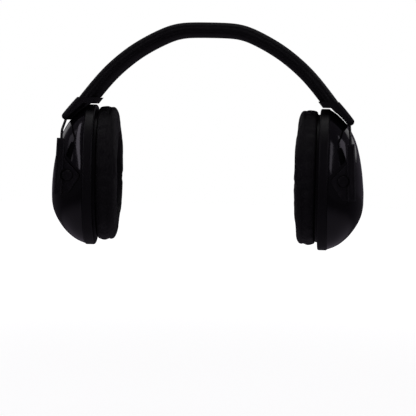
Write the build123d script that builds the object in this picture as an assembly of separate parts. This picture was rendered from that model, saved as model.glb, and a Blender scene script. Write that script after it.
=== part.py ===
from build123d import *
import math
import os

# Radio headphones: an over-the-head padded band, a wire fork at each end, two slide arms a side
# that run on the fork's legs, and a cup a side that tilts on pins between its two arms.
# The wearer's right cup (-X) holds the receiver, the wearer's left cup (+X) holds two AA cells.
# Frame: millimetres, +Z up, +X to the wearer's left, -Y to the wearer's front.
# The origin is midway between the ears: the middle of the head space, level with the cups' middle.

# ---------------------------------------------------------------- driving dimensions
BAND_W = 40.0           # headband width, front to back
BAND_T = 11.6           # padded headband thickness
SKIN = 1.2              # vinyl cover thickness
BAND_END_Z = 60.0       # height at which the padded cover ends
TONGUE_T = 5.4          # depth of the end cap's stem inside the cover
# outer line of the band, from the crown to the tip, X and Z
BAND_OUTER = [(0, 119.2), (12, 119.05), (21, 118.4), (30, 116.4), (40, 112.3), (50, 107.1), (60, 100.9),
              (70, 93.3), (80, 84.2), (90, 73.0), (100, 60.4), (105.6, 53.2), (111.1, 46.1)]

WIRE_R = 1.0            # fork wire radius
ARM_Y = 38.0            # front and rear leg distance from the middle plane
SPLAY = 3.0             # lean of the fork's legs, bottom outward, degrees
TOE = 3.0               # turn of each cup about the vertical, outer face toward the front, degrees
PIVOT_X, PIVOT_Z = 106.0, 0.8
SLEEVE_U = 5.9          # leg axis, outward from the pivot axis
SLEEVE_TOP, SLEEVE_BOTTOM = 27.6, -14.9
SLEEVE_WIDE, SLEEVE_DEEP = 6.2, 6.8
PLATE_IN, PLATE_OUT = 35.2, 38.4
PIN_R, PIN_HEAD_R, PIN_CLEAR = 3.0, 4.0, 0.08
POCKET_Y = 34.4

RIM_X0, RIM_X1 = 87.0, 94.6     # baffle plate, head side and shell side
RIM_A, RIM_H = 54.7, 42.0       # half height and half width of the rim
RIM_ZC = -0.25
POWER = 2.35                    # roundness of every oval
WALL = 2.2

# sections of the cup shell: X, top Z, bottom Z, half width
SHELL = [(94.6, 53.6, -54.1, 41.4), (97.0, 52.2, -53.3, 41.0), (100.0, 50.0, -52.0, 40.1), (103.0, 47.3, -50.3, 38.9),
         (106.0, 44.2, -48.1, 37.2), (109.0, 40.3, -45.4, 35.0), (112.0, 35.2, -42.0, 32.0), (114.6, 29.4, -38.5, 28.3),
         (117.0, 21.4, -34.6, 23.6), (119.0, 12.0, -30.6, 18.0), (120.4, 2.2, -26.6, 12.4), (121.2, -5.6, -22.4, 7.2), (121.55, -10.6, -18.4, 3.4)]

CUSHION_A, CUSHION_H, CUSHION_ZC = 51.8, 38.6, 1.3
EAR_A, EAR_H = 31.0, 20.0
CUSHION_X0, CUSHION_X1 = 68.5, 85.2

SPEAKER_R = 20.0
POSTS = [(28.5, 33.0), (-28.5, 33.0), (28.5, -35.0), (-28.5, -35.0)]

VOLUME_YZ, TUNING_YZ, WHEEL_R = (22.5, -32.0), (20.5, 30.0), 13.0
WHEEL_X0, WHEEL_X1 = 100.3, 103.5
SLIDE_MM = 26.0

os.makedirs("parts", exist_ok=True)
TOED = Pos(PIVOT_X, 0, 0) * Rot(0, 0, -TOE) * Pos(-PIVOT_X, 0, 0)


def save(name, shape, side=1, toed=False):
    """One STEP for each node. side -1 puts the piece in the wearer's right cup by mirroring it."""
    if toed:
        shape = TOED * shape
    if side < 0:
        shape = mirror(shape, about=Plane.YZ)
    solids = [s for s in shape.solids()]
    shape = solids[0] if len(solids) == 1 else Compound(children=solids)
    export_step(shape, f"parts/{name}.step")
    return shape


def oval(x, top, bottom, half, n=POWER, count=24):
    """A closed oval wire in the plane at x."""
    a, zc = (top - bottom) / 2, (top + bottom) / 2
    pts = []
    for i in range(count):
        t = 2 * math.pi * (i + 0.5) / count
        c, s = math.cos(t), math.sin(t)
        pts.append((x, half * math.copysign(abs(c) ** (2 / n), c), zc + a * math.copysign(abs(s) ** (2 / n), s)))
    return Wire([Edge.make_spline([Vector(*p) for p in pts], periodic=True)])


def oval_face(x, a, h, zc=RIM_ZC):
    return Face(oval(x, zc + a, zc - a, h))


def oval_solid(x0, x1, a, h, zc=RIM_ZC):
    return Solid.extrude(oval_face(x0, a, h, zc), Vector(x1 - x0, 0, 0))


def dome(inset=0.0, shift=0.0, start=None):
    """The cup's outer form, or its hollow, taken in by inset."""
    rows = []
    for x, top, bottom, half in SHELL:
        k = min(inset, half - 2.4)
        rows.append((x - shift, top - min(inset, (top - bottom) / 2 - 2.4), bottom + min(inset, (top - bottom) / 2 - 2.4), half - k))
    if start is not None:
        rows[0] = (start, *rows[0][1:])
    return Solid.make_loft([oval(*r) for r in rows], False)


def cyl(axis, centre, r, a, b):
    """A cylinder along X, Y or Z from a to b."""
    lo, hi = min(a, b), max(a, b)
    if axis == "X":
        return Pos(lo, centre[0], centre[1]) * Rot(0, 90, 0) * Cylinder(r, hi - lo, align=(Align.CENTER, Align.CENTER, Align.MIN))
    if axis == "Y":
        return Pos(centre[0], hi, centre[1]) * Rot(90, 0, 0) * Cylinder(r, hi - lo, align=(Align.CENTER, Align.CENTER, Align.MIN))
    return Pos(centre[0], centre[1], lo) * Cylinder(r, hi - lo, align=(Align.CENTER, Align.CENTER, Align.MIN))


def block(x0, x1, y0, y1, z0, z1):
    return Pos((x0 + x1) / 2, (y0 + y1) / 2, (z0 + z1) / 2) * Box(abs(x1 - x0), abs(y1 - y0), abs(z1 - z0))


def xz_prism(points, y0, y1):
    """A prism of an X, Z outline between two Y planes."""
    face = Face(Wire.make_polygon([Vector(x, y0, z) for x, z in points], close=True))
    return Solid.extrude(face, Vector(0, y1 - y0, 0))


def round_edges(shape, edges, r):
    """The same shape with its edges rounded, at the largest radius that holds."""
    edges = list(edges)
    for k in (1.0, 0.8, 0.6, 0.4, 0.25):
        try:
            got = shape.fillet(r * k, edges)
            if got.is_valid and abs(got.volume) > 0:
                return got
        except Exception:
            continue
    print("not rounded", r)
    return shape


# ---------------------------------------------------------------- the band's line
def band_curve(points, count=60):
    """Points and normals along the half line, from a spline that leaves the crown level."""
    edge = Edge.make_spline([Vector(x, 0, z) for x, z in points], tangents=[Vector(1, 0, 0), Vector(0.617, 0, -0.787)])
    out = []
    for i in range(count + 1):
        t = i / count
        p, d = edge.position_at(t), edge.tangent_at(t)
        out.append(((p.X, p.Z), (-d.Z, d.X)))   # the normal points outward
    return out


CURVE = band_curve(BAND_OUTER)


def offset_line(depth):
    """The band's line at a depth below its outer surface, from the crown out."""
    return [(p[0] - n[0] * depth, p[1] - n[1] * depth) for p, n in CURVE]


def cut_at(line, z):
    """The line from the crown down to height z, ending exactly there."""
    out = []
    for (x0, z0), (x1, z1) in zip(line, line[1:]):
        out.append((x0, z0))
        if z1 <= z:
            t = (z0 - z) / (z0 - z1)
            out.append((x0 + t * (x1 - x0), z))
            return out
    return out + [line[-1]]


def arch(depth0, depth1, z_end, y0, y1):
    """A solid arch between two depths below the band's outer surface, ending level at z_end on both sides."""
    a, b = cut_at(offset_line(depth0), z_end), cut_at(offset_line(depth1), z_end)

    def both(line):
        return [(-x, z) for x, z in reversed(line[1:])] + [(0, line[0][1])] + line[1:]

    outer, inner = both(a), both(b)
    step = 3
    o = [outer[0], *outer[step:-step:step], outer[-1]]
    i = [inner[0], *inner[step:-step:step], inner[-1]]
    eo = Edge.make_spline([Vector(x, y0, z) for x, z in o])
    ei = Edge.make_spline([Vector(x, y0, z) for x, z in i])
    l0 = Edge.make_line(Vector(o[0][0], y0, o[0][1]), Vector(i[0][0], y0, i[0][1]))
    l1 = Edge.make_line(Vector(o[-1][0], y0, o[-1][1]), Vector(i[-1][0], y0, i[-1][1]))
    face = Face(Wire([eo, l1, ei, l0]))
    return Solid.extrude(face, Vector(0, y1 - y0, 0))


HB = BAND_W / 2
cover_out = arch(0, BAND_T, BAND_END_Z, -HB, HB)
long_edges = [e for e in cover_out.edges() if e.length > 150]
cover_out = round_edges(cover_out, long_edges, 4.2)
cover_in = arch(SKIN, BAND_T - SKIN, BAND_END_Z - 4, -HB + SKIN, HB - SKIN)
cover_in = round_edges(cover_in, [e for e in cover_in.edges() if e.length > 150], 3.0)
headband_cover = cover_out - cover_in
save("headband_cover", headband_cover)

# spring strip under the outer skin, held in both end caps
STRIP_D0, STRIP_D1, STRIP_W = 2.2, 3.1, 11.0
strip = arch(STRIP_D0, STRIP_D1, 57.4, -STRIP_W, STRIP_W)
save("headband_spring_strip", strip)
# foam pad below the strip
pad = arch(STRIP_D1 + 0.12, BAND_T - SKIN - 0.2, 66.8, -HB + SKIN + 0.25, HB - SKIN - 0.25)
pad = round_edges(pad, [e for e in pad.edges() if e.length > 150], 3.0)
save("headband_foam_pad", pad)


# ---------------------------------------------------------------- end caps and forks
def leg_x(z):
    """X of the leg's axis at a height."""
    s = math.radians(SPLAY)
    px, pz = PIVOT_X + SLEEVE_U * math.cos(s), PIVOT_Z + SLEEVE_U * math.sin(s)
    return px - (z - pz) * math.tan(s)


FORK = [(leg_x(-11.0), -ARM_Y, -11.0), (leg_x(34.8), -ARM_Y, 34.8), (108.4, -16.0, 44.6), (100.2, -14.0, 55.4),
        (100.2, 14.0, 55.4), (108.4, 16.0, 44.6), (leg_x(34.8), ARM_Y, 34.8), (leg_x(-11.0), ARM_Y, -11.0)]
FORK_BEND = [4.2, 4.0, 4.0, 4.0, 4.0, 4.2]


def toe_point(p):
    """A leg's point turned with the cup."""
    t = math.radians(-TOE)
    dx, dy = p[0] - PIVOT_X, p[1]
    return (PIVOT_X + dx * math.cos(t) - dy * math.sin(t), dx * math.sin(t) + dy * math.cos(t), p[2])


FORK = [toe_point(p) for p in FORK[:2]] + FORK[2:6] + [toe_point(p) for p in FORK[6:]]


def fork_wire(r):
    path = FilletPolyline(*[Vector(*p) for p in FORK], radius=FORK_BEND)
    w = path.wire() if hasattr(path, "wire") else path
    start = w.position_at(0)
    d = w.tangent_at(0)
    ring = Face(Wire.make_circle(r, Plane(origin=start, z_dir=d)))
    return Solid.sweep(ring, w, transition=Transition.ROUND), w


fork, fork_path = fork_wire(WIRE_R)
print("fork length", round(fork_path.length, 1), "volume ratio", round(fork.volume / (math.pi * WIRE_R**2 * fork_path.length), 4))
fork_room, _ = fork_wire(WIRE_R + 0.06)


def cup_room():
    """The cup's top outline with room round it, as a prism across the caps, which hollows their undersides."""
    rows = [(x + 0.6, top + 0.75) for x, top, bottom, half in SHELL if top > 0]
    return xz_prism([(70.0, 20.0), (70.0, RIM_A + RIM_ZC + 0.85), (RIM_X1 + 0.7, RIM_A + RIM_ZC + 0.85), *rows[1:], (rows[-1][0], 20.0)], -30.0, 30.0)


CAP_Y = BAND_W / 2 + 0.5


def end_cap():
    """A chunky boot below the cover that flares a little toward its round foot, with a stem up inside the cover."""
    side = [(p, n) for p, n in CURVE if 46.0 < p[1] < BAND_END_Z - 0.6]
    side = [side[0], *side[2:-1:2], side[-1]]
    out = []
    for p, n in side:
        f = 0.45 + 0.2 * (BAND_END_Z - p[1]) / 14.0
        out.append((p[0] + n[0] * f, p[1] + n[1] * f))
    top_x = [p[0] for p, n in CURVE if p[1] >= BAND_END_Z][-1] + 0.45
    y0 = -CAP_Y
    pt = lambda x, z: Vector(x, y0, z)
    outline = Wire([
        Edge.make_line(pt(85.2, BAND_END_Z), pt(top_x, BAND_END_Z)),
        Edge.make_three_point_arc(pt(top_x, BAND_END_Z), pt(*out[len(out) // 2]), pt(*out[-1])),
        Edge.make_three_point_arc(pt(*out[-1]), pt(111.5, 43.7), pt(109.2, 42.3)),
        Edge.make_line(pt(109.2, 42.3), pt(100.0, 42.3)),
        Edge.make_line(pt(100.0, 42.3), pt(91.4, 52.2)),
        Edge.make_line(pt(91.4, 52.2), pt(85.2, BAND_END_Z)),
    ])
    boot = Solid.extrude(Face(outline), Vector(0, 2 * CAP_Y, 0))
    corner = [e for e in boot.edges() if abs(abs(e.center().Y) - CAP_Y) < 0.01 and (e.center().X > 101.5 or e.center().Z > BAND_END_Z - 0.01)]
    boot = round_edges(boot, [e for e in corner if e.center().Z < BAND_END_Z - 0.01], 2.6)
    boot = boot - cup_room()
    boot = max(boot.solids(), key=lambda q: q.volume)
    stem_out = [p for p in offset_line(SKIN + 0.1) if BAND_END_Z - 1.5 < p[1] < 66]
    stem_in = [p for p in offset_line(TONGUE_T - 0.3) if BAND_END_Z - 1.5 < p[1] < 66]
    for line in (stem_out, stem_in):
        (xa, za), (xb, zb) = line[-2:]
        line.append((xb + (58.3 - zb) * (xb - xa) / (zb - za), 58.3))
    stem = xz_prism([*stem_out, *reversed(stem_in)], -15.5, 15.5)
    slot = arch(STRIP_D0 - 0.08, STRIP_D1 + 0.08, 56.8, -STRIP_W - 0.1, STRIP_W + 0.1)
    cap = boot - fork_room
    print("fork's groove in the cap takes", round(boot.volume - cap.volume, 1))
    cap = cap + stem
    print("cap and stem are", len(cap.solids()), "solid")
    cap = cap - slot
    return max(cap.solids(), key=lambda q: q.volume)


def rivet_points():
    """Two rivets through the cap and the strip, square to the strip."""
    out = []
    for z in (58.5, 62.4):
        line = offset_line(STRIP_D0)
        for (p, n), q in zip(CURVE, line):
            if q[1] <= z:
                out.append((q, n))
                break
    return out


cap = end_cap()
rivet_list, rivet_holes = [], []
(q, n) = rivet_points()[1]
for y in (-6.0, 6.0):
    base = Plane(origin=Vector(q[0] + n[0] * 0.9, y, q[1] + n[1] * 0.9), z_dir=Vector(-n[0], 0, -n[1]))
    shank = base * Pos(0, 0, 0) * Cylinder(1.0, 3.4, align=(Align.CENTER, Align.CENTER, Align.MIN))
    rivet_list.append(shank)
    rivet_holes.append(base * Pos(0, 0, -1) * Cylinder(1.0, 6.0, align=(Align.CENTER, Align.CENTER, Align.MIN)))
rivets = Compound(children=[s for r in rivet_list for s in r.solids()])
for h in rivet_holes:
    cap = cap - h
    strip = strip - h - mirror(h, about=Plane.YZ)
save("headband_spring_strip", strip)
for side, name in ((1, "left"), (-1, "right")):
    save(f"{name}_band_end_cap", cap, side)
    save(f"{name}_wire_fork", fork, side)
    save(f"{name}_band_rivets", rivets, side)


# ---------------------------------------------------------------- slide arms
ARM_FRAME = Pos(PIVOT_X, 0, PIVOT_Z) * Rot(0, -SPLAY, 0)
PLATE = [(3.6, 13.0), (2.4, 12.2), (-7.6, 2.6), (-9.0, 1.0), (-9.4, 0.0), (-9.0, -1.3), (-3.0, -11.4), (-1.9, -13.0), (-0.6, -14.1), (0.8, -14.6), (3.6, -14.7)]


def front_arm():
    sleeve = block(SLEEVE_U - SLEEVE_WIDE / 2, SLEEVE_U + SLEEVE_WIDE / 2, -ARM_Y - SLEEVE_DEEP / 2, -ARM_Y + SLEEVE_DEEP / 2, SLEEVE_BOTTOM, SLEEVE_TOP)
    sleeve = round_edges(sleeve, sleeve.edges().filter_by(Axis.Z), 1.1)
    plate = xz_prism(PLATE, -PLATE_OUT, -PLATE_IN)
    arm = sleeve + plate
    outside = [e for e in arm.edges() if abs(e.center().Y + PLATE_OUT) < 0.01 and e.center().X < 3.0]
    arm = round_edges(arm, outside, 0.5)
    arm = arm - cyl("Y", (0, 0), PIN_R + PIN_CLEAR, -50, -30)
    arm = arm - cyl("Y", (0, 0), 4.9, -50, -PLATE_OUT + 1.2)
    # long shallow channel down the sleeve's outer face
    arm = arm - block(SLEEVE_U - 1.7, SLEEVE_U + 1.7, -50, -ARM_Y - SLEEVE_DEEP / 2 + 0.5, SLEEVE_BOTTOM + 3, SLEEVE_TOP - 2.2)
    # the bore that the fork's leg slides in
    arm = arm - cyl("Z", (SLEEVE_U, -ARM_Y), WIRE_R + 0.08, SLEEVE_BOTTOM + 2.6, SLEEVE_TOP + 1)
    return ARM_FRAME * arm


arm_f = front_arm()
arm_r = mirror(arm_f, about=Plane.XZ)
for side, name in ((1, "left"), (-1, "right")):
    save(f"{name}_front_arm", arm_f, side, toed=True)
    save(f"{name}_rear_arm", arm_r, side, toed=True)


# ---------------------------------------------------------------- pivot pins
def pin_front():
    head = cyl("Y", (PIVOT_X, PIVOT_Z), PIN_HEAD_R, -PLATE_OUT - 0.6, -PLATE_OUT + 1.1)
    rim = [e for e in head.edges() if e.center().Y < -PLATE_OUT - 0.5]
    head = round_edges(head, rim, 0.6)
    head = head - cyl("Y", (PIVOT_X, PIVOT_Z), 2.0, -PLATE_OUT - 1.5, -PLATE_OUT - 0.25)
    return head + cyl("Y", (PIVOT_X, PIVOT_Z), PIN_R, -PLATE_OUT + 1.0, -26.5)


pin = pin_front()
pins = Compound(children=[*pin.solids(), *mirror(pin, about=Plane.XZ).solids()])

# ---------------------------------------------------------------- cup shell
outer = dome()
hollow = dome(WALL, WALL, start=RIM_X1 - 1.0)
# the recess for the plate and the sleeve, and its wall inside, measured outward and up from the pivot axis
POCKET = [(PIVOT_X + u, PIVOT_Z + z) for u, z in [(0.9, 62), (0.9, 14.6), (-0.4, 13.4), (-11.4, 3.0), (-12.6, 1.0), (-12.9, -1.4), (-12.6, -5.4), (-11.6, -8.2),
                                                  (-8.8, -12.4), (-5.6, -15.4), (-1.6, -17.3), (3.0, -18.0), (26, -18.0), (26, 62)]]
POCKET_OUT = [(PIVOT_X + u, PIVOT_Z + z) for u, z in [(-1.3, 62), (-1.3, 15.6), (-2.0, 14.9), (-13.1, 4.5), (-14.7, 1.8), (-15.1, -1.5), (-14.8, -5.8), (-13.6, -9.2),
                                                      (-10.5, -13.8), (-6.9, -17.2), (-2.2, -19.4), (2.9, -20.2), (26, -20.2), (26, 62)]]


def both_y(make):
    a = make(-1)
    return a + mirror(a, about=Plane.XZ)


pocket = both_y(lambda s: xz_prism(POCKET, -60, -POCKET_Y))
pocket_wall = both_y(lambda s: xz_prism(POCKET_OUT, -60, -POCKET_Y + WALL))
bosses = cyl("Y", (PIVOT_X, PIVOT_Z), 6.0, -POCKET_Y + 0.2, -26.5) + cyl("Y", (PIVOT_X, PIVOT_Z), 6.0, 26.5, POCKET_Y - 0.2)
boss_holes = cyl("Y", (PIVOT_X, PIVOT_Z), PIN_R, -60, -26.5) + cyl("Y", (PIVOT_X, PIVOT_Z), PIN_R, 26.5, 60)
posts = None
for y, z in POSTS:
    p = cyl("X", (y, z), 3.2, RIM_X1, 99.4)
    posts = p if posts is None else posts + p
post_holes = None
for y, z in POSTS:
    p = cyl("X", (y, z), 1.25, RIM_X1 - 1, 98.4)
    post_holes = p if post_holes is None else post_holes + p

shell = outer - pocket
cavity = hollow - pocket_wall
shell = shell - cavity
shell = shell + (bosses & outer) + (posts & outer)
shell = shell - boss_holes - post_holes


def biggest(shape):
    return max(shape.solids(), key=lambda s: s.volume)


shell = biggest(shell)
print("shell", shell.is_valid, round(shell.volume), len(shell.faces()))

# ---------------------------------------------------------------- baffle plate
rim = oval_solid(RIM_X0, RIM_X1, RIM_A, RIM_H)
rim = round_edges(rim, rim.edges(), 1.3)
rim = rim - oval_solid(RIM_X0 + 2.5, RIM_X1 + 1, RIM_A - 3.4, RIM_H - 3.4)
grille = []
for ring_r, count in ((0, 1), (5.4, 6), (10.8, 12), (16.0, 18)):
    for k in range(count):
        a = 2 * math.pi * k / count + (0.0 if count < 13 else 0.17)
        grille.append(cyl("X", (ring_r * math.cos(a), ring_r * math.sin(a)), 1.5, RIM_X0 - 1, RIM_X0 + 3.2))
for g in grille:
    rim = rim - g
seats = None
for y, z in POSTS:
    s = cyl("X", (y, z), 4.2, RIM_X0 + 2.0, RIM_X1)
    seats = s if seats is None else seats + s
rim = rim + seats
for y, z in POSTS:
    rim = rim - cyl("X", (y, z), 1.6, RIM_X0 - 1, RIM_X1 + 1) - cyl("X", (y, z), 3.1, RIM_X0 - 1, RIM_X0 + 2.4)
PEGS = [(0.0, 41.0), (0.0, -41.5), (29.0, 8.0), (-29.0, 8.0), (29.0, -9.0), (-29.0, -9.0)]
for y, z in PEGS:
    rim = rim - cyl("X", (y, z), 1.6, RIM_X0 - 1, RIM_X0 + 3)
baffle = biggest(rim)
print("baffle", baffle.is_valid, round(baffle.volume))

# ---------------------------------------------------------------- cushion and its ring
ring = oval_solid(CUSHION_X1, RIM_X0, 49.4, 36.4, 0.6) - oval_solid(CUSHION_X1 - 1, RIM_X0 + 1, EAR_A + 2.2, EAR_H + 2.2)
for y, z in PEGS:
    ring = ring + cyl("X", (y, z), 1.5, RIM_X0 - 0.5, RIM_X0 + 2.4)
cushion = oval_solid(CUSHION_X0, CUSHION_X1, CUSHION_A, CUSHION_H, CUSHION_ZC)
cushion = round_edges(cushion, [e for e in cushion.edges() if e.center().X < CUSHION_X0 + 1], 5.0)
hole = oval_solid(CUSHION_X0 - 1, CUSHION_X1 + 1, EAR_A, EAR_H)
cushion = cushion - hole
ear_foam = oval_solid(RIM_X0 - 1.6, RIM_X0 - 0.05, EAR_A + 1.9, EAR_H + 1.9)

# ---------------------------------------------------------------- speaker
basket = cyl("X", (0, 0), SPEAKER_R, RIM_X0 + 2.5, RIM_X0 + 3.7) - cyl("X", (0, 0), 17.6, RIM_X0 + 2, RIM_X0 + 4)
drum = cyl("X", (0, 0), 14.0, RIM_X0 + 5.1, RIM_X0 + 6.6) - cyl("X", (0, 0), 12.8, RIM_X0 + 4, RIM_X0 + 5.6)
cone_wall = Pos(RIM_X0 + 3.7, 0, 0) * Rot(0, 90, 0) * Cone(18.6, 14.0, 1.4, align=(Align.CENTER, Align.CENTER, Align.MIN))
cone_wall = cone_wall - Pos(RIM_X0 + 3.6, 0, 0) * Rot(0, 90, 0) * Cone(17.6, 12.9, 1.6, align=(Align.CENTER, Align.CENTER, Align.MIN))
basket = basket + drum + cone_wall
basket = biggest(basket - cyl("X", (0, 0), 4.0, RIM_X0 + 5, RIM_X0 + 8))
magnet = cyl("X", (0, 0), 10.0, RIM_X0 + 6.6, RIM_X0 + 9.3)
cone = Pos(RIM_X0 + 3.0, 0, 0) * Rot(0, 90, 0) * Cone(17.0, 11.0, 1.9, align=(Align.CENTER, Align.CENTER, Align.MIN))
cone = cone - Pos(RIM_X0 + 2.99, 0, 0) * Rot(0, 90, 0) * Cone(16.5, 10.4, 1.5, align=(Align.CENTER, Align.CENTER, Align.MIN))

screws = []
for y, z in POSTS:
    s = cyl("X", (y, z), 2.7, RIM_X0 + 0.7, RIM_X0 + 2.4) + cyl("X", (y, z), 1.25, RIM_X0 + 2.4, 98.0)
    s = s - (Pos(RIM_X0 + 1.1, y, z) * Box(1.6, 3.6, 0.7)) - (Pos(RIM_X0 + 1.1, y, z) * Box(1.6, 0.7, 3.6))
    screws.append(biggest(s))
screws = Compound(children=screws)


def wheel_disc(yz, extra=0.0):
    return cyl("X", yz, WHEEL_R + extra, WHEEL_X0 - extra, WHEEL_X1 + extra)


# ---------------------------------------------------------------- receiver cup (wearer's right)
shell_r = shell - wheel_disc(VOLUME_YZ, 0.5) - wheel_disc(TUNING_YZ, 0.5)
# slot for the band switch, low on the cup's rear corner
SW_ANGLE = -80.0
sa = math.radians(SW_ANGLE)


def rear_low_radius(x):
    """Distance from the oval's middle to the shell's outer surface along the switch's direction."""
    for (x0, t0, b0, h0), (x1, t1, b1, h1) in zip(SHELL, SHELL[1:]):
        if x0 <= x <= x1:
            k = (x - x0) / (x1 - x0)
            t, b, h = t0 + k * (t1 - t0), b0 + k * (b1 - b0), h0 + k * (h1 - h0)
            a, zc = (t - b) / 2, (t + b) / 2
            r = 1.0
            while (abs(r * math.cos(sa)) / h) ** POWER + (abs(r * math.sin(sa) - zc) / a) ** POWER < 1:
                r += 0.01
            return r
    return 40.0


SW_X = 99.2
SW_R = rear_low_radius(SW_X)
SW_FRAME = Pos(SW_X, SW_R * math.cos(sa), SW_R * math.sin(sa)) * Rot(SW_ANGLE, 0, 0)   # local +Y points out of the cup
slot = SW_FRAME * Box(6.4, 12.0, 3.2)
shell_r = biggest(shell_r - slot)
knob = SW_FRAME * (Pos(-1.5, -1.6, 0) * Box(3.2, 5.4, 2.6))
ridges = SW_FRAME * (Pos(-0.75, 1.05, 0) * Box(0.5, 0.5, 2.6)) + SW_FRAME * (Pos(-2.25, 1.05, 0) * Box(0.5, 0.5, 2.6))
knob = biggest(knob - ridges)
sw_body = SW_FRAME * (Pos(-0.6, -7.3, 0) * Box(6.0, 4.6, 5.0))
print("receiver shell", shell_r.is_valid, "switch at radius", round(SW_R, 2))

board = block(98.0, 99.6, -21, 21, -38, 36)
for yz in (VOLUME_YZ, TUNING_YZ):
    board = board - cyl("X", yz, 2.6, 97, 101)
board = biggest(board)


def thumb_wheel(yz):
    w = wheel_disc(yz)
    w = round_edges(w, w.edges(), 0.4)
    teeth = None
    for k in range(36):
        a = 2 * math.pi * k / 36
        t = cyl("X", (yz[0] + (WHEEL_R + 0.25) * math.cos(a), yz[1] + (WHEEL_R + 0.25) * math.sin(a)), 0.55, WHEEL_X0 - 1, WHEEL_X1 + 1)
        teeth = t if teeth is None else teeth + t
    w = w - teeth
    w = w - cyl("X", yz, 9.5, WHEEL_X1 - 1.0, WHEEL_X1 + 1)
    w = w + cyl("X", yz, 3.6, WHEEL_X0, WHEEL_X1)
    return biggest(w - cyl("X", yz, 2.06, WHEEL_X0 - 1, WHEEL_X1 - 0.8))


tuning_wheel, volume_wheel = thumb_wheel(TUNING_YZ), thumb_wheel(VOLUME_YZ)
gang = block(91.4, 97.9, TUNING_YZ[0] - 8, TUNING_YZ[0] + 6.4, TUNING_YZ[1] - 8, TUNING_YZ[1] + 6.0)
gang = gang - cyl("X", POSTS[0], 4.7, 80, 120)
gang = biggest(gang + cyl("X", TUNING_YZ, 2.0, 97.5, WHEEL_X1 - 0.9))
pot = cyl("X", VOLUME_YZ, 7.5, 94.2, 97.9) - cyl("X", POSTS[2], 4.6, 80, 120)
pot = biggest(pot + cyl("X", VOLUME_YZ, 2.0, 97.5, WHEEL_X1 - 0.9))
rod = cyl("Y", (94.6, 39.6), 3.4, -15.5, 15.5)
coil = cyl("Y", (94.6, 39.6), 4.0, -9, 9) - cyl("Y", (94.6, 39.6), 3.4, -20, 20)
cans = Compound(children=[s for y, z in ((-12, 22), (-12, 11), (-3, 22)) for s in (block(99.6, 106.5, y - 3.5, y + 3.5, z - 3.5, z + 3.5)).solids()])
chips = Compound(children=[s for y, z, w, h in ((0, 2, 7, 12), (-12, -14, 6, 9)) for s in (block(99.6, 101.4, y - w / 2, y + w / 2, z - h / 2, z + h / 2)).solids()])
caps = Compound(children=[s for y, z in ((10, 10), (10, -6), (0, -14), (-12, -28), (-4, -28)) for s in cyl("X", (y, z), 2.6, 99.6, 106.8).solids()])

save("right_cup_shell", shell_r, -1, toed=True)
save("right_circuit_board", board, -1, toed=True)
save("tuning_wheel", tuning_wheel, -1, toed=True)
save("volume_wheel", volume_wheel, -1, toed=True)
save("tuning_capacitor", gang, -1, toed=True)
save("volume_control", pot, -1, toed=True)
save("ferrite_rod_antenna", rod, -1, toed=True)
save("antenna_coil", coil, -1, toed=True)
save("tuned_coil_cans", cans, -1, toed=True)
save("receiver_chips", chips, -1, toed=True)
save("board_capacitors", caps, -1, toed=True)
save("band_switch_knob", knob, -1, toed=True)
save("band_switch_body", sw_body, -1, toed=True)

# ---------------------------------------------------------------- battery cup (wearer's left)
DOOR_Y, DOOR_Z0, DOOR_Z1, DOOR_GAP = 17.0, -38.5, 16.5, 0.3


def door_prism(extra, x0, x1):
    b = block(x0, x1, -DOOR_Y - extra, DOOR_Y + extra, DOOR_Z0 - extra, DOOR_Z1 + extra)
    return round_edges(b, b.edges().filter_by(Axis.X), 4.5)


opening = door_prism(0.0, 100.0, 140.0)
door = (outer - hollow) & door_prism(-DOOR_GAP, 100.0, 140.0)
door = biggest(door)
nail = cyl("Y", (0, 0), 6.0, -5, 5)
door = biggest(door - Pos(124.6, 0, DOOR_Z1 - 2.0) * nail)
shell_l = biggest(shell - opening)
print("battery shell", shell_l.is_valid, "door", door.is_valid, round(door.volume))

CELL_X, CELL_R, CELL_Z0, CELL_Z1 = 104.7, 7.2, -34.0, 16.4 - 2.4
tray_out = block(96.5, 130, -17.2, 17.2, -38.6, 18.2)
tray_in = block(97.4, 131, -15.9, 15.9, -37.3, 16.9)
inside = dome(WALL + 0.3, WALL + 0.3, start=RIM_X1 - 1.0)
tray = biggest((tray_out & inside) - tray_in - door_prism(0.4, 108.0, 140.0))
cells = []
for y, flip in ((-7.6, 1), (7.6, -1)):
    body = cyl("Z", (CELL_X, y), CELL_R, CELL_Z0 + (0 if flip > 0 else 1.4), CELL_Z1 - (1.4 if flip > 0 else 0))
    body = round_edges(body, body.edges(), 0.5)
    nub = cyl("Z", (CELL_X, y), 2.6, CELL_Z1 - 1.6, CELL_Z1) if flip > 0 else cyl("Z", (CELL_X, y), 2.6, CELL_Z0, CELL_Z0 + 1.6)
    cells.append(biggest(body + nub))


def spring(y, z0, z1):
    """A flat-wound contact spring: a stack of rings joined by a post."""
    s = cyl("Z", (CELL_X, y), 4.0, z0, z0 + 0.6) - cyl("Z", (CELL_X, y), 3.2, z0 - 1, z0 + 2)
    m = cyl("Z", (CELL_X, y), 3.2, z0 + 0.6, z0 + 1.2) - cyl("Z", (CELL_X, y), 2.3, z0 - 1, z0 + 3)
    t = cyl("Z", (CELL_X, y), 2.6, z0 + 1.2, z1) - cyl("Z", (CELL_X, y), 1.7, z0 - 1, z1 + 3)
    return s + m + t


springs = Compound(children=[*(spring(-7.6, -36.7, CELL_Z0)).solids(), *mirror(Pos(0, 0, 0) * spring(7.6, -36.7 + 0.0, -34.0), about=Plane(origin=(0, 0, (CELL_Z0 + CELL_Z1) / 2), z_dir=(0, 0, 1))).solids()])
contacts = Compound(children=[*block(CELL_X - 4.5, CELL_X + 4.5, -12.4, 12.4, -37.2, -36.7).solids(),
                              *block(CELL_X - 4.5, CELL_X + 4.5, -12.4, 12.4, 16.3 + 0.4, 16.3 + 0.55).solids()])
print("battery tray", tray.is_valid, round(tray.volume), "springs", len(springs.solids()))

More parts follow.
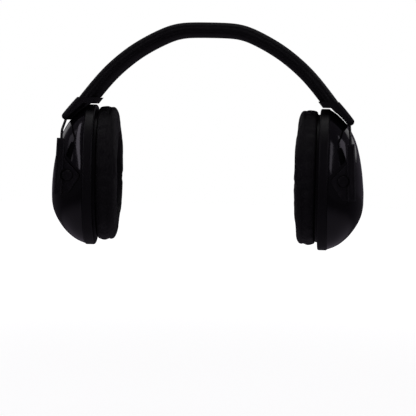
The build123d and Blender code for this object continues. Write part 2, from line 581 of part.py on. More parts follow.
save("left_cup_shell", shell_l, toed=True)
save("battery_door", door, toed=True)
save("battery_tray", tray, toed=True)
save("battery_cell_front", cells[0], toed=True)
save("battery_cell_rear", cells[1], toed=True)
save("battery_springs", springs, toed=True)
save("battery_contacts", contacts, toed=True)

for side, name in ((1, "left"), (-1, "right")):
    save(f"{name}_baffle_plate", baffle, side, toed=True)
    save(f"{name}_cushion_ring", ring, side, toed=True)
    save(f"{name}_ear_cushion", cushion, side, toed=True)
    save(f"{name}_ear_foam", ear_foam, side, toed=True)
    save(f"{name}_speaker_basket", basket, side, toed=True)
    save(f"{name}_speaker_magnet", magnet, side, toed=True)
    save(f"{name}_speaker_cone", biggest(cone), side, toed=True)
    save(f"{name}_pivot_pins", pins, side, toed=True)
    save(f"{name}_cup_screws", screws, side, toed=True)
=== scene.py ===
import bpy, bmesh, math
import numpy as np
from mathutils import Vector, Matrix, noise


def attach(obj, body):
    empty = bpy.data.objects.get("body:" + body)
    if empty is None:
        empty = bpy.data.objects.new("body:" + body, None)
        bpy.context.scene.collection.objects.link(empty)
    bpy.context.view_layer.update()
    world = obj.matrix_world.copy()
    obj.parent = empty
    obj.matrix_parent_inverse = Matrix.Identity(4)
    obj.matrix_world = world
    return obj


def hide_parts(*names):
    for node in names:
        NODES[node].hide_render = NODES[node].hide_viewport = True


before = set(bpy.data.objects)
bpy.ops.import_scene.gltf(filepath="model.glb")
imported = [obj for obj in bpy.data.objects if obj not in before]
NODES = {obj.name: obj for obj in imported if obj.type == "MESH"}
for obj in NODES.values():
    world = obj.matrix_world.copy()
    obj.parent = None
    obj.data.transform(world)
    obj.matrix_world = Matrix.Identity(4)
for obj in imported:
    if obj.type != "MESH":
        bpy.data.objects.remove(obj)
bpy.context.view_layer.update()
scene = bpy.context.scene
MM = 0.001

# ------------------------------------------------------------------ shape constants, millimetres, as in the frame
TOE = math.radians(3.0)
PIVOT_X = 106.0
BAND_OUTER = [(0, 119.2), (12, 119.05), (21, 118.4), (30, 116.4), (40, 112.3), (50, 107.1), (60, 100.9),
              (70, 93.3), (80, 84.2), (90, 73.0), (100, 60.4), (105.6, 53.2), (111.1, 46.1)]
BAND_W, BAND_T, BAND_END_Z = 40.0, 11.6, 60.0
POWER = 2.35
RIM_ZC = -0.25
EAR_A, EAR_H = 31.0, 20.0
CUSHION_A, CUSHION_H, CUSHION_ZC = 51.8, 38.6, 1.3
CUSHION_X0, CUSHION_X1 = 68.5, 85.2


def toe(side, p):
    """A point of the +X cup's own frame, turned by the toe-in and put on its side."""
    dx, y = p[0] - PIVOT_X, p[1]
    return Vector((side * (PIVOT_X + dx * math.cos(TOE) + y * math.sin(TOE)), -dx * math.sin(TOE) + y * math.cos(TOE), p[2])) * MM


def smooth_line(points, count):
    """Points on a natural cubic through the given ones, evenly spaced by chord, with unit normals pointing outward."""
    p = np.array(points, float)
    s = np.r_[0, np.cumsum(np.linalg.norm(np.diff(p, axis=0), axis=1))]
    n = len(p)
    d0, d1 = np.array([1.0, 0.0]), np.array([0.617, -0.787])
    A, B = np.zeros((n, n)), np.zeros((n, 2))
    A[0, 0] = A[-1, -1] = 1
    B[0], B[-1] = d0, d1
    for i in range(1, n - 1):
        h0, h1 = s[i] - s[i - 1], s[i + 1] - s[i]
        A[i, i - 1], A[i, i], A[i, i + 1] = h1, 2 * (h0 + h1), h0
        B[i] = 3 * (h1 * (p[i] - p[i - 1]) / h0 + h0 * (p[i + 1] - p[i]) / h1)
    m = np.linalg.solve(A, B)
    t = np.linspace(0, s[-1], 800)
    k = np.clip(np.searchsorted(s, t, side="right") - 1, 0, n - 2)
    h = (s[k + 1] - s[k])[:, None]
    u = ((t - s[k])[:, None]) / h
    q = (2 * u**3 - 3 * u**2 + 1) * p[k] + (u**3 - 2 * u**2 + u) * h * m[k] + (-2 * u**3 + 3 * u**2) * p[k + 1] + (u**3 - u**2) * h * m[k + 1]
    L = np.r_[0, np.cumsum(np.linalg.norm(np.diff(q, axis=0), axis=1))]
    want = np.linspace(0, L[-1], count)
    x, z = np.interp(want, L, q[:, 0]), np.interp(want, L, q[:, 1])
    dx, dz = np.gradient(x), np.gradient(z)
    ln = np.hypot(dx, dz)
    return np.c_[x, z], np.c_[-dz / ln, dx / ln]


# ------------------------------------------------------------------ mesh helpers
def mesh_object(name, verts, faces, smooth=True):
    me = bpy.data.meshes.new(name)
    me.from_pydata([tuple(v) for v in verts], [], faces)
    me.validate()
    me.update()
    ob = bpy.data.objects.new(name, me)
    scene.collection.objects.link(ob)
    if smooth:
        me.polygons.foreach_set("use_smooth", [True] * len(me.polygons))
    return ob


def tube_faces(rows, cols, closed_rows=False, closed_cols=True):
    faces = []
    for i in range(rows if closed_rows else rows - 1):
        for j in range(cols if closed_cols else cols - 1):
            a, b = i * cols + j, i * cols + (j + 1) % cols
            c, d = ((i + 1) % rows) * cols + (j + 1) % cols, ((i + 1) % rows) * cols + j
            faces.append((a, b, c, d))
    return faces


def fix_normals(ob):
    bm = bmesh.new()
    bm.from_mesh(ob.data)
    bmesh.ops.recalc_face_normals(bm, faces=bm.faces)
    bm.to_mesh(ob.data)
    bm.free()
    return ob


def apply_all(ob):
    bpy.context.view_layer.update()
    dg = bpy.context.evaluated_depsgraph_get()
    me = bpy.data.meshes.new_from_object(ob.evaluated_get(dg))
    old = ob.data
    ob.modifiers.clear()
    ob.data = me
    me.name = ob.name
    if old.users == 0:
        bpy.data.meshes.remove(old)
    me.polygons.foreach_set("use_smooth", [True] * len(me.polygons))
    return ob


def subdivide(ob, levels=1):
    m = ob.modifiers.new("sub", "SUBSURF")
    m.levels = m.render_levels = levels
    return apply_all(ob)


def puff(ob, pinned, pressure, cap, grow=0.0, frames=20, bend=0.4, tension=18):
    """Swells a closed skin by cloth simulation, holding the pinned vertices, and keeps every point within cap of where it began."""
    start = np.empty(len(ob.data.vertices) * 3)
    ob.data.vertices.foreach_get("co", start)
    start = start.reshape(-1, 3)
    g = ob.vertex_groups.new(name="pin")
    for i, w in pinned.items():
        g.add([int(i)], float(w), "REPLACE")
    c = ob.modifiers.new("cloth", "CLOTH")
    st = c.settings
    st.quality = 6
    st.mass = 0.25
    st.tension_stiffness = st.compression_stiffness = tension
    st.shear_stiffness = 8
    st.bending_stiffness = bend
    st.use_pressure = True
    st.uniform_pressure_force = pressure
    st.shrink_min = -grow
    st.effector_weights.gravity = 0
    st.vertex_group_mass = "pin"
    c.collision_settings.use_collision = False
    c.point_cache.frame_start, c.point_cache.frame_end = 1, frames
    for f in range(1, frames + 1):
        scene.frame_set(f)
    dg = bpy.context.evaluated_depsgraph_get()
    ev = ob.evaluated_get(dg).to_mesh()
    end = np.empty(len(ev.vertices) * 3)
    ev.vertices.foreach_get("co", end)
    end = end.reshape(-1, 3)
    ob.evaluated_get(dg).to_mesh_clear()
    move = end - start
    d = np.linalg.norm(move, axis=1, keepdims=True)
    move *= np.where(d > cap, cap / np.maximum(d, 1e-9), 1.0)
    ob.modifiers.clear()
    ob.vertex_groups.clear()
    ob.data.vertices.foreach_set("co", (start + move).ravel())
    ob.data.update()
    scene.frame_set(1)
    return ob


# ------------------------------------------------------------------ materials
def material(name, base, rough, bump=None, vary=0.25, coat=0.0, coat_rough=0.1, metallic=0.0, spec=0.5, wear=0.0,
             grain_scale=900.0, grain="noise", grain_depth=0.00006, rough_scale=60.0, sheen=0.0, wrinkle=0.0):
    """A procedural surface: colour drift, uneven gloss, a surface grain in relief, and paler wear on edges."""
    m = bpy.data.materials.new(name)
    m.use_nodes = True
    nt = m.node_tree
    nt.nodes.clear()
    N, Lk = nt.nodes.new, nt.links.new
    out = N("ShaderNodeOutputMaterial")
    b = N("ShaderNodeBsdfPrincipled")
    Lk(b.outputs[0], out.inputs[0])
    b.inputs["Metallic"].default_value = metallic
    b.inputs["Specular IOR Level"].default_value = spec
    b.inputs["Coat Weight"].default_value = coat
    b.inputs["Coat Roughness"].default_value = coat_rough
    b.inputs["Sheen Weight"].default_value = sheen
    b.inputs["Sheen Roughness"].default_value = 0.5
    tc = N("ShaderNodeTexCoord")
    n1 = N("ShaderNodeTexNoise")
    n1.inputs["Scale"].default_value = rough_scale
    n1.inputs["Detail"].default_value = 6
    n1.inputs["Roughness"].default_value = 0.6
    Lk(tc.outputs["Object"], n1.inputs["Vector"])
    mr = N("ShaderNodeMapRange")
    mr.inputs["From Min"].default_value, mr.inputs["From Max"].default_value = 0.3, 0.7
    mr.inputs["To Min"].default_value, mr.inputs["To Max"].default_value = max(0.02, rough * (1 - vary)), min(1.0, rough * (1 + vary))
    Lk(n1.outputs["Fac"], mr.inputs["Value"])
    Lk(mr.outputs["Result"], b.inputs["Roughness"])
    # colour: slow drift between two near tones
    n2 = N("ShaderNodeTexNoise")
    n2.inputs["Scale"].default_value = 22.0
    n2.inputs["Detail"].default_value = 4
    Lk(tc.outputs["Object"], n2.inputs["Vector"])
    ramp = N("ShaderNodeValToRGB")
    ramp.color_ramp.elements[0].position, ramp.color_ramp.elements[1].position = 0.3, 0.72
    ramp.color_ramp.elements[0].color = (*[c * 0.82 for c in base], 1)
    ramp.color_ramp.elements[1].color = (*[min(1, c * 1.22) for c in base], 1)
    Lk(n2.outputs["Fac"], ramp.inputs["Fac"])
    colour = ramp.outputs["Color"]
    if wear > 0:
        geo = N("ShaderNodeNewGeometry")
        edge = N("ShaderNodeMapRange")
        edge.inputs["From Min"].default_value, edge.inputs["From Max"].default_value = 0.53, 0.62
        Lk(geo.outputs["Pointiness"], edge.inputs["Value"])
        brk = N("ShaderNodeTexNoise")
        brk.inputs["Scale"].default_value = 260.0
        brk.inputs["Detail"].default_value = 5
        Lk(tc.outputs["Object"], brk.inputs["Vector"])
        mul = N("ShaderNodeMath")
        mul.operation = "MULTIPLY"
        Lk(edge.outputs["Result"], mul.inputs[0])
        Lk(brk.outputs["Fac"], mul.inputs[1])
        mul2 = N("ShaderNodeMath")
        mul2.operation = "MULTIPLY"
        mul2.inputs[1].default_value = wear
        Lk(mul.outputs[0], mul2.inputs[0])
        mix = N("ShaderNodeMix")
        mix.data_type = "RGBA"
        Lk(mul2.outputs[0], mix.inputs["Factor"])
        Lk(colour, mix.inputs["A"])
        mix.inputs["B"].default_value = (*[min(1, c * 3 + 0.03) for c in base], 1)
        colour = mix.outputs["Result"]
    Lk(colour, b.inputs["Base Color"])
    # relief
    if grain == "leather":
        v = N("ShaderNodeTexVoronoi")
        v.feature = "DISTANCE_TO_EDGE"
        v.inputs["Scale"].default_value = grain_scale
        warp = N("ShaderNodeTexNoise")
        warp.inputs["Scale"].default_value = grain_scale * 0.6
        warp.inputs["Detail"].default_value = 3
        Lk(tc.outputs["Object"], warp.inputs["Vector"])
        add = N("ShaderNodeMix")
        add.data_type = "RGBA"
        add.blend_type = "LINEAR_LIGHT"
        add.inputs["Factor"].default_value = 0.0012
        Lk(tc.outputs["Object"], add.inputs["A"])
        Lk(warp.outputs["Color"], add.inputs["B"])
        Lk(add.outputs["Result"], v.inputs["Vector"])
        h = N("ShaderNodeMapRange")
        h.inputs["From Min"].default_value, h.inputs["From Max"].default_value = 0.0, 0.22
        h.interpolation_type = "SMOOTHSTEP"
        Lk(v.outputs["Distance"], h.inputs["Value"])
        height = h.outputs["Result"]
    else:
        g = N("ShaderNodeTexNoise")
        g.inputs["Scale"].default_value = grain_scale
        g.inputs["Detail"].default_value = 3
        Lk(tc.outputs["Object"], g.inputs["Vector"])
        height = g.outputs["Fac"]
    bp = N("ShaderNodeBump")
    bp.inputs["Strength"].default_value = 1.0
    bp.inputs["Distance"].default_value = grain_depth
    Lk(height, bp.inputs["Height"])
    if wrinkle > 0:
        w = N("ShaderNodeTexNoise")
        w.inputs["Scale"].default_value = 90.0
        w.inputs["Detail"].default_value = 3
        w.inputs["Distortion"].default_value = 0.8
        Lk(tc.outputs["Object"], w.inputs["Vector"])
        bw = N("ShaderNodeBump")
        bw.inputs["Strength"].default_value = 1.0
        bw.inputs["Distance"].default_value = wrinkle
        Lk(w.outputs["Fac"], bw.inputs["Height"])
        Lk(bw.outputs["Normal"], bp.inputs["Normal"])
    Lk(bp.outputs["Normal"], b.inputs["Normal"])
    return m


VINYL = material("vinyl_skin", (0.0036, 0.0031, 0.0042), 0.5, grain="leather", grain_scale=1250, grain_depth=0.00009, vary=0.22,
                 rough_scale=45, sheen=0.0, wrinkle=0.0003, spec=0.32)
BAND_VINYL = material("band_vinyl", (0.0032, 0.0029, 0.0037), 0.54, grain="leather", grain_scale=1050, grain_depth=0.00010, vary=0.2,
                      rough_scale=38, sheen=0.0, wrinkle=0.00025, spec=0.3)
GLOSS = material("gloss_moulding", (0.0032, 0.0026, 0.0040), 0.15, vary=0.35, coat=0.35, coat_rough=0.06, spec=0.42, wear=0.35,
                 grain_scale=140, grain_depth=0.00002, rough_scale=34)
SATIN = material("satin_moulding", (0.0062, 0.0055, 0.0070), 0.34, vary=0.25, spec=0.45, wear=0.6, grain_scale=2400, grain_depth=0.00003, rough_scale=120)
MATT = material("matt_moulding", (0.0036, 0.0031, 0.0042), 0.46, vary=0.2, spec=0.32, wear=0.35, grain_scale=2100, grain_depth=0.00005, rough_scale=90)
WIRE = material("coated_wire", (0.0040, 0.0040, 0.0045), 0.3, vary=0.3, spec=0.5, wear=0.3, grain_scale=1600, grain_depth=0.00002, rough_scale=200)
STEEL = material("plated_steel", (0.42, 0.42, 0.43), 0.32, vary=0.3, metallic=1.0, grain_scale=1800, grain_depth=0.00002, rough_scale=220)
FOAM = material("open_foam", (0.012, 0.012, 0.013), 0.9, grain="leather", grain_scale=1500, grain_depth=0.0004, vary=0.1, spec=0.12, wrinkle=0.0002)
PAPER = material("pressed_paper", (0.03, 0.027, 0.024), 0.85, grain_scale=1400, grain_depth=0.0001, spec=0.2)
FERRITE = material("sintered_ferrite", (0.05, 0.048, 0.046), 0.6, grain_scale=1900, grain_depth=0.00005)
BOARD = material("resin_board", (0.26, 0.15, 0.05), 0.45, grain_scale=900, grain_depth=0.00004)
COPPER = material("enamel_copper", (0.55, 0.22, 0.08), 0.3, metallic=0.9, grain_scale=2600, grain_depth=0.00008)
CHIP = material("chip_resin", (0.02, 0.02, 0.02), 0.55, grain_scale=2200, grain_depth=0.00003)
BLUE = material("shrunk_sleeve", (0.02, 0.045, 0.17), 0.28, grain_scale=300, grain_depth=0.00003)
CELL = material("cell_jacket", (0.16, 0.17, 0.19), 0.3, metallic=0.6, grain_scale=500, grain_depth=0.00002)

PAINT = {
    "headband_cover": BAND_VINYL, "headband_foam_pad": FOAM, "headband_spring_strip": STEEL,
    "battery_door": GLOSS, "battery_tray": MATT, "battery_cell_front": CELL, "battery_cell_rear": CELL,
    "battery_springs": STEEL, "battery_contacts": STEEL, "right_circuit_board": BOARD, "tuning_capacitor": MATT,
    "volume_control": MATT, "ferrite_rod_antenna": FERRITE, "antenna_coil": COPPER, "tuned_coil_cans": STEEL,
    "receiver_chips": CHIP, "board_capacitors": BLUE, "band_switch_body": MATT, "band_switch_knob": SATIN,
    "tuning_wheel": SATIN, "volume_wheel": SATIN,
}
for n in ("left", "right"):
    PAINT.update({
        f"{n}_band_end_cap": MATT, f"{n}_wire_fork": WIRE, f"{n}_band_rivets": STEEL, f"{n}_front_arm": SATIN, f"{n}_rear_arm": SATIN,
        f"{n}_cup_shell": GLOSS, f"{n}_baffle_plate": MATT, f"{n}_cushion_ring": MATT, f"{n}_ear_cushion": VINYL, f"{n}_ear_foam": FOAM,
        f"{n}_speaker_basket": STEEL, f"{n}_speaker_magnet": FERRITE, f"{n}_speaker_cone": PAPER, f"{n}_pivot_pins": SATIN, f"{n}_cup_screws": STEEL,
    })
for name, ob in NODES.items():
    ob.data.materials.clear()
    ob.data.materials.append(PAINT[name])


# ------------------------------------------------------------------ padded band
def make_band():
    inset = 0.35
    line, nrm = smooth_line(BAND_OUTER, 120)
    ok = line[:, 1] > BAND_END_Z - 1.0
    line, nrm = line[ok], nrm[ok]
    xs = np.r_[-line[::-1][:-1, 0], line[:, 0]]
    zs = np.r_[line[::-1][:-1, 1], line[:, 1]]
    nx = np.r_[-nrm[::-1][:-1, 0], nrm[:, 0]]
    nz = np.r_[nrm[::-1][:-1, 1], nrm[:, 1]]
    rows, cols = len(xs), 56
    half_w, half_t = BAND_W / 2 - inset, BAND_T / 2 - inset
    verts, pins = [], {}
    for i in range(rows):
        for j in range(cols):
            a = 2 * math.pi * j / cols
            c, s = math.cos(a), math.sin(a)
            y = half_w * math.copysign(abs(c) ** (2 / 5.0), c)
            d = half_t * math.copysign(abs(s) ** (2 / 3.2), s)
            # the level foot: both ends of the cover finish at one height
            depth = BAND_T / 2 - d
            x, z = xs[i] - nx[i] * depth, zs[i] - nz[i] * depth
            if z < BAND_END_Z + 0.15 and abs(nz[i]) > 1e-6:
                tx, tz = nz[i], -nx[i]
                if xs[i] < 0:
                    tx, tz = -tx, -tz
                if abs(tz) > 1e-6:
                    k = (BAND_END_Z + 0.15 - z) / tz
                    x, z = x + tx * k, z + tz * k
            verts.append(Vector((x, y, z)) * MM)
            seam = min(abs(j - 0), abs(j - cols), abs(j - cols // 2))
            if seam == 0:
                pins[i * cols + j] = 1.0
            if i < 2 or i > rows - 3:
                pins[i * cols + j] = 1.0
    faces = tube_faces(rows, cols)
    faces.append(tuple(range(cols)))
    faces.append(tuple((rows - 1) * cols + j for j in range(cols)))
    ob = fix_normals(mesh_object("padded_band_cover", verts, faces))
    puff(ob, pins, 5.0, 0.0011, grow=0.012, bend=0.25, frames=18)
    # the welded seam along both edges: a narrow bead with a groove each side
    co = np.empty(len(ob.data.vertices) * 3)
    ob.data.vertices.foreach_get("co", co)
    co = co.reshape(-1, 3)
    nm = np.empty(len(ob.data.vertices) * 3)
    ob.data.vertices.foreach_get("normal", nm)
    nm = nm.reshape(-1, 3)
    idx = np.arange(rows * cols) % cols
    seam = np.minimum(np.minimum(idx, cols - idx), np.abs(idx - cols // 2))
    lift = np.where(seam == 0, 0.00035, np.where(seam == 1, -0.00055, np.where(seam == 2, -0.0002, 0.0)))
    co[: rows * cols] += nm[: rows * cols] * lift[:, None]
    ob.data.vertices.foreach_set("co", co.ravel())
    ob.data.update()
    subdivide(ob, 1)
    ob.data.materials.clear()
    ob.data.materials.append(BAND_VINYL)
    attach(ob, "headband")
    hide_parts("headband_cover")
    return ob


band = make_band()


# ------------------------------------------------------------------ ear cushions
def oval_point(t, a, h, zc=RIM_ZC):
    c, s = math.cos(t), math.sin(t)
    return h * math.copysign(abs(c) ** (2 / POWER), c), zc + a * math.copysign(abs(s) ** (2 / POWER), s)


def even_angles(a, h, count):
    """Angles that space points evenly along an oval."""
    ts = np.linspace(0, 2 * math.pi, 2001)
    p = np.array([oval_point(t, a, h) for t in ts])
    L = np.r_[0, np.cumsum(np.linalg.norm(np.diff(p, axis=0), axis=1))]
    return np.interp(np.linspace(0, L[-1], count, endpoint=False), L, ts)


def cushion_section():
    """Half section of the cushion, from the ear hole's back edge over the face to the outer back edge: (share from hole to outside, x)."""
    x0, x1 = CUSHION_X0, CUSHION_X1
    return [
        (0.015, x1 - 0.1, 1), (0.0, x1 - 2.2, 1), (-0.01, x1 - 5.0, 0), (-0.008, x1 - 8.0, 0), (0.008, x1 - 10.6, 0), (0.045, x0 + 3.0, 0),
        (0.10, x0 + 1.5, 0), (0.18, x0 + 0.8, 0), (0.30, x0 + 0.55, 0), (0.42, x0 + 0.5, 0), (0.54, x0 + 0.6, 0), (0.66, x0 + 0.9, 0),
        (0.77, x0 + 1.6, 0), (0.86, x0 + 2.7, 0), (0.925, x0 + 4.2, 0), (0.962, x0 + 5.9, 0), (0.972, x0 + 6.7, 1), (0.98, x0 + 7.6, 0), (0.984, x0 + 9.6, 0),
        (0.986, x0 + 11.8, 0), (0.984, x0 + 13.8, 0), (0.974, x0 + 15.6, 1), (0.93, x1 - 0.1, 1), (0.6, x1 - 0.05, 1), (0.3, x1 - 0.05, 1),
    ]


def make_cushion(side, name):
    around = 168
    sect = cushion_section()
    cols = len(sect)
    tin, tout = even_angles(EAR_A, EAR_H, around), even_angles(CUSHION_A, CUSHION_H, around)
    verts, pins = [], {}
    for i in range(around):
        yi, zi = oval_point(tin[i], EAR_A + 0.5, EAR_H + 0.5)
        yo, zo = oval_point(tout[i], CUSHION_A, CUSHION_H, CUSHION_ZC)
        for j, (k, x, pin) in enumerate(sect):
            y, z = yi + (yo - yi) * k, zi + (zo - zi) * k
            verts.append(toe(side, (x, y, z)))
            if pin:
                pins[i * cols + j] = 1.0
    ob = fix_normals(mesh_object(name + "_cushion_skin", verts, tube_faces(around, cols, closed_rows=True)))
    puff(ob, pins, 4.0, 0.0016, grow=0.035, bend=0.12, frames=20, tension=14)
    co = np.empty(len(ob.data.vertices) * 3)
    ob.data.vertices.foreach_get("co", co)
    co = co.reshape(-1, 3)
    nm = np.empty(len(ob.data.vertices) * 3)
    ob.data.vertices.foreach_get("normal", nm)
    nm = nm.reshape(-1, 3)
    idx = np.arange(len(co)) % cols
    ring = np.arange(len(co)) // cols
    lift = np.where(idx == 16, 0.0003, np.where((idx == 15) | (idx == 17), -0.0004, 0.0))
    # soft creases that gather at the tight ends of the oval, over the outer wall and the hole's wall
    ang = tout[ring]
    tight = np.abs(np.sin(ang)) ** 6
    low = np.clip(-np.sin(ang), 0, 1) ** 4
    wall_out = np.exp(-((idx - 19.0) / 2.2) ** 2)
    wall_in = np.exp(-((idx - 5.0) / 2.4) ** 2)
    s1 = np.sin(ring * 0.83 + 0.9 * np.sin(ring * 0.21) + idx * 0.12) * np.sin(ring * 0.29 + 1.3)
    s2 = np.sin(ring * 0.61 + 1.1 * np.sin(ring * 0.17 + 2.0) - idx * 0.2)
    lift = lift + 0.00035 * s1 * wall_out * (0.35 + tight + 0.8 * low) + 0.00045 * s2 * wall_in * (0.5 + 0.7 * tight)
    co += nm * lift[:, None]
    ob.data.vertices.foreach_set("co", co.ravel())
    ob.data.update()
    subdivide(ob, 1)
    ob.data.materials.clear()
    ob.data.materials.append(VINYL)
    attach(ob, name + "_cup")
    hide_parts(name + "_ear_cushion")
    return ob


def make_ear_foam(side, name):
    """The thin foam sheet over the speaker, seen down the ear hole: a soft crowned disc with pores in relief."""
    rings, around = 26, 120
    th = even_angles(EAR_A, EAR_H, around)
    verts = []
    for top in (True, False):
        for r in range(1, rings + 1):
            k = r / rings
            for t in th:
                y, z = oval_point(t, (EAR_A + 1.6) * k, (EAR_H + 1.6) * k)
                n = noise.fractal(Vector((y * 0.33, z * 0.33, 3.0 * side)), 0.7, 2.2, 4)
                p = noise.noise(Vector((y * 1.9, z * 1.9, 7.0)))
                if top:
                    x = 85.45 - 0.32 * (1 - k**2) + 0.10 * n + 0.16 * max(0.0, p) + (0.55 if k > 0.99 else 0.0)
                else:
                    x = 86.9
                verts.append(toe(side, (x, y, z)))
    def ring_at(layer, r, j):
        return layer * rings * around + (r - 1) * around + j % around
    faces = []
    for layer in (0, 1):
        for r in range(1, rings):
            for j in range(around):
                faces.append((ring_at(layer, r, j), ring_at(layer, r, j + 1), ring_at(layer, r + 1, j + 1), ring_at(layer, r + 1, j)))
    for j in range(around):
        faces.append((ring_at(0, rings, j), ring_at(0, rings, j + 1), ring_at(1, rings, j + 1), ring_at(1, rings, j)))
    for layer, x in ((0, 85.13), (1, 86.9)):
        verts.append(toe(side, (x, 0, RIM_ZC)))
        c = len(verts) - 1
        for j in range(around):
            faces.append((ring_at(layer, 1, j), ring_at(layer, 1, j + 1), c))
    ob = fix_normals(mesh_object(name + "_foam_liner", verts, faces))
    ob.data.materials.append(FOAM)
    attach(ob, name + "_cup")
    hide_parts(name + "_ear_foam")
    return ob


for side, name in ((1, "left"), (-1, "right")):
    make_cushion(side, name)
    make_ear_foam(side, name)


# ------------------------------------------------------------------ carried-over CAD pieces: a helper that would shade them smooth where round, crisp at edges; nothing calls it
def shade(ob, angle=32.0):
    me = ob.data
    me.polygons.foreach_set("use_smooth", [True] * len(me.polygons))
    bm = bmesh.new()
    bm.from_mesh(me)
    lim = math.radians(angle)
    sharp = [len(e.link_faces) != 2 or e.calc_face_angle(0.0) > lim for e in bm.edges]
    bm.free()
    attr = me.attributes.get("sharp_edge") or me.attributes.new("sharp_edge", "BOOLEAN", "EDGE")
    attr.data.foreach_set("value", sharp)


# ------------------------------------------------------------------ floor, light, camera
def make_stage():
    """A pale level floor, a wide round sheet whose far edge melts into the white behind it."""
    z, rings, around = -0.215, 14, 72
    verts, faces = [Vector((0, 0, z))], []
    for r in range(1, rings + 1):
        for j in range(around):
            a = 2 * math.pi * j / around
            verts.append(Vector((math.cos(a), math.sin(a), 0)) * (2.6 * r / rings) + Vector((0, 0, z)))
    for j in range(around):
        faces.append((0, 1 + j, 1 + (j + 1) % around))
    for r in range(rings - 1):
        for j in range(around):
            p, n = 1 + r * around, 1 + (r + 1) * around
            faces.append((p + j, n + j, n + (j + 1) % around, p + (j + 1) % around))
    ob = mesh_object("studio_floor", verts, faces)
    m = bpy.data.materials.new("floor_paper")
    m.use_nodes = True
    nt = m.node_tree
    nt.nodes.clear()
    N, Lk = nt.nodes.new, nt.links.new
    out = N("ShaderNodeOutputMaterial")
    b = N("ShaderNodeBsdfDiffuse")
    b.inputs["Color"].default_value = (0.42, 0.42, 0.42, 1)
    glow = N("ShaderNodeEmission")
    path = N("ShaderNodeLightPath")
    # the paper's own glow grows outward, so that the floor's edge is as white as the room
    tc = N("ShaderNodeTexCoord")
    ln = N("ShaderNodeVectorMath")
    ln.operation = "LENGTH"
    Lk(tc.outputs["Object"], ln.inputs[0])
    far = N("ShaderNodeMapRange")
    far.interpolation_type = "SMOOTHSTEP"
    far.inputs["From Min"].default_value, far.inputs["From Max"].default_value = 0.35, 1.4
    far.inputs["To Min"].default_value, far.inputs["To Max"].default_value = FLOOR_GLOW, 1.05
    Lk(ln.outputs["Value"], far.inputs["Value"])
    mul = N("ShaderNodeMath")
    mul.operation = "MULTIPLY"
    Lk(far.outputs["Result"], mul.inputs[0])
    Lk(path.outputs["Is Camera Ray"], mul.inputs[1])
    Lk(mul.outputs[0], glow.inputs["Strength"])
    add = N("ShaderNodeAddShader")
    Lk(b.outputs[0], add.inputs[0])
    Lk(glow.outputs[0], add.inputs[1])
    # what the gloss mirrors of it: a pool of light under the object that fades outward
    pool = N("ShaderNodeEmission")
    pool.inputs["Color"].default_value = (1.0, 0.88, 1.1, 1)
    near = N("ShaderNodeMapRange")
    near.interpolation_type = "SMOOTHSTEP"
    near.inputs["From Min"].default_value, near.inputs["From Max"].default_value = 0.34, 0.62
    near.inputs["To Min"].default_value, near.inputs["To Max"].default_value = 0.13, 0.03
    Lk(ln.outputs["Value"], near.inputs["Value"])
    Lk(near.outputs["Result"], pool.inputs["Strength"])
    seen = N("ShaderNodeMixShader")
    Lk(path.outputs["Is Camera Ray"], seen.inputs[0])
    Lk(pool.outputs[0], seen.inputs[1])
    Lk(add.outputs[0], seen.inputs[2])
    Lk(seen.outputs[0], out.inputs[0])
    ob.data.materials.append(m)
    return ob


FLOOR_GLOW, ROOM_GREY = 0.875, 0.055
make_stage()
world = bpy.data.worlds.new("studio")
scene.world = world
world.use_nodes = True
wn = world.node_tree
wn.nodes.clear()
w_out = wn.nodes.new("ShaderNodeOutputWorld")
w_seen, w_room = wn.nodes.new("ShaderNodeBackground"), wn.nodes.new("ShaderNodeBackground")
w_seen.inputs["Color"].default_value, w_seen.inputs["Strength"].default_value = (1, 1, 1, 1), 1.0
w_room.inputs["Color"].default_value, w_room.inputs["Strength"].default_value = (0.99, 0.87, 1.12, 1), ROOM_GREY
w_path, w_mix = wn.nodes.new("ShaderNodeLightPath"), wn.nodes.new("ShaderNodeMixShader")
wn.links.new(w_path.outputs["Is Camera Ray"], w_mix.inputs[0])
wn.links.new(w_room.outputs[0], w_mix.inputs[1])
wn.links.new(w_seen.outputs[0], w_mix.inputs[2])
wn.links.new(w_mix.outputs[0], w_out.inputs[0])


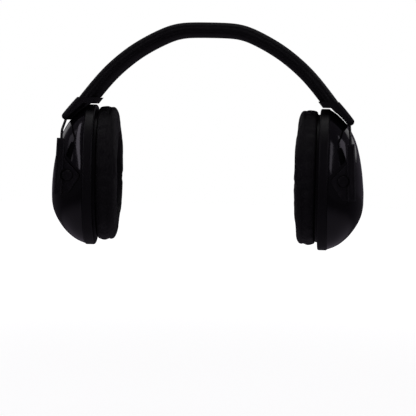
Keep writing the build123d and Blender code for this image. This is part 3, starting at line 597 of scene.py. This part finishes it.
def area(name, pos, target, sx, sy, glow, colour=(1, 1, 1)):
    """A softbox; glow is how bright its face is next to white paper."""
    li = bpy.data.lights.new(name, "AREA")
    li.shape, li.size, li.size_y, li.energy, li.color = "RECTANGLE", sx, sy, glow * math.pi * sx * sy, colour
    ob = bpy.data.objects.new(name, li)
    ob.location = Vector(pos)
    ob.rotation_euler = (Vector(target) - Vector(pos)).to_track_quat("-Z", "Y").to_euler()
    ob.visible_camera = False
    scene.collection.objects.link(ob)
    return ob


def strip(name, a, b, width, glow, colour=(0.97, 0.90, 1.06)):
    """A long narrow softbox from one point to another, facing the object."""
    a, b = Vector(a), Vector(b)
    mid, run = (a + b) / 2, b - a
    ob = area(name, mid, (0, 0, 0), width, run.length, glow, colour)
    z = mid.normalized()
    y = (run - run.dot(z) * z).normalized()
    x = y.cross(z)
    ob.rotation_euler = Matrix((x, y, z)).transposed().to_euler()
    return ob


# each strip leans outward as it rises, so that its reflection runs straight down the front of a dome
strip("strip_left", (-0.575, -0.995, 0.10), (-0.70, 0.06, 0.74), 0.13, 1.25)
strip("strip_left_wide", (-1.03, -0.62, 0.13), (-1.01, 0.05, 0.66), 0.30, 0.28)
strip("strip_right", (0.46, -1.10, 0.14), (0.66, -0.66, 0.74), 0.20, 0.75)
strip("strip_right_wide", (1.03, -0.62, 0.11), (1.01, 0.05, 0.70), 0.32, 0.72)
area("top_soft", (0.0, -0.05, 1.75), (0, 0.0, 0), 1.5, 1.2, 0.8)
area("back_left", (-1.1, 1.35, 0.8), (0, 0, 0), 0.7, 1.3, 0.4)
area("back_right", (1.1, 1.35, 0.8), (0, 0, 0), 0.7, 1.3, 0.4)

cam = bpy.data.cameras.new("camera")
cam.lens, cam.sensor_width = 110.9, 36.0
cam.clip_start, cam.clip_end = 0.02, 30
cam_ob = bpy.data.objects.new("camera", cam)
scene.collection.objects.link(cam_ob)
AZ, EL, DIST, ROLL = math.radians(3.5), math.radians(3.0), 1.0, math.radians(1.15)
eye = Vector((math.sin(AZ) * math.cos(EL), -math.cos(AZ) * math.cos(EL), math.sin(EL))) * DIST
aim = Vector((0.0010, 0.0, -0.0244))
q = (aim - eye).to_track_quat("-Z", "Y")
cam_ob.location = eye
cam_ob.rotation_euler = (q.to_matrix() @ Matrix.Rotation(ROLL, 3, "Z")).to_euler()
scene.camera = cam_ob
scene.view_settings.view_transform = "Standard"
scene.view_settings.look = "None"
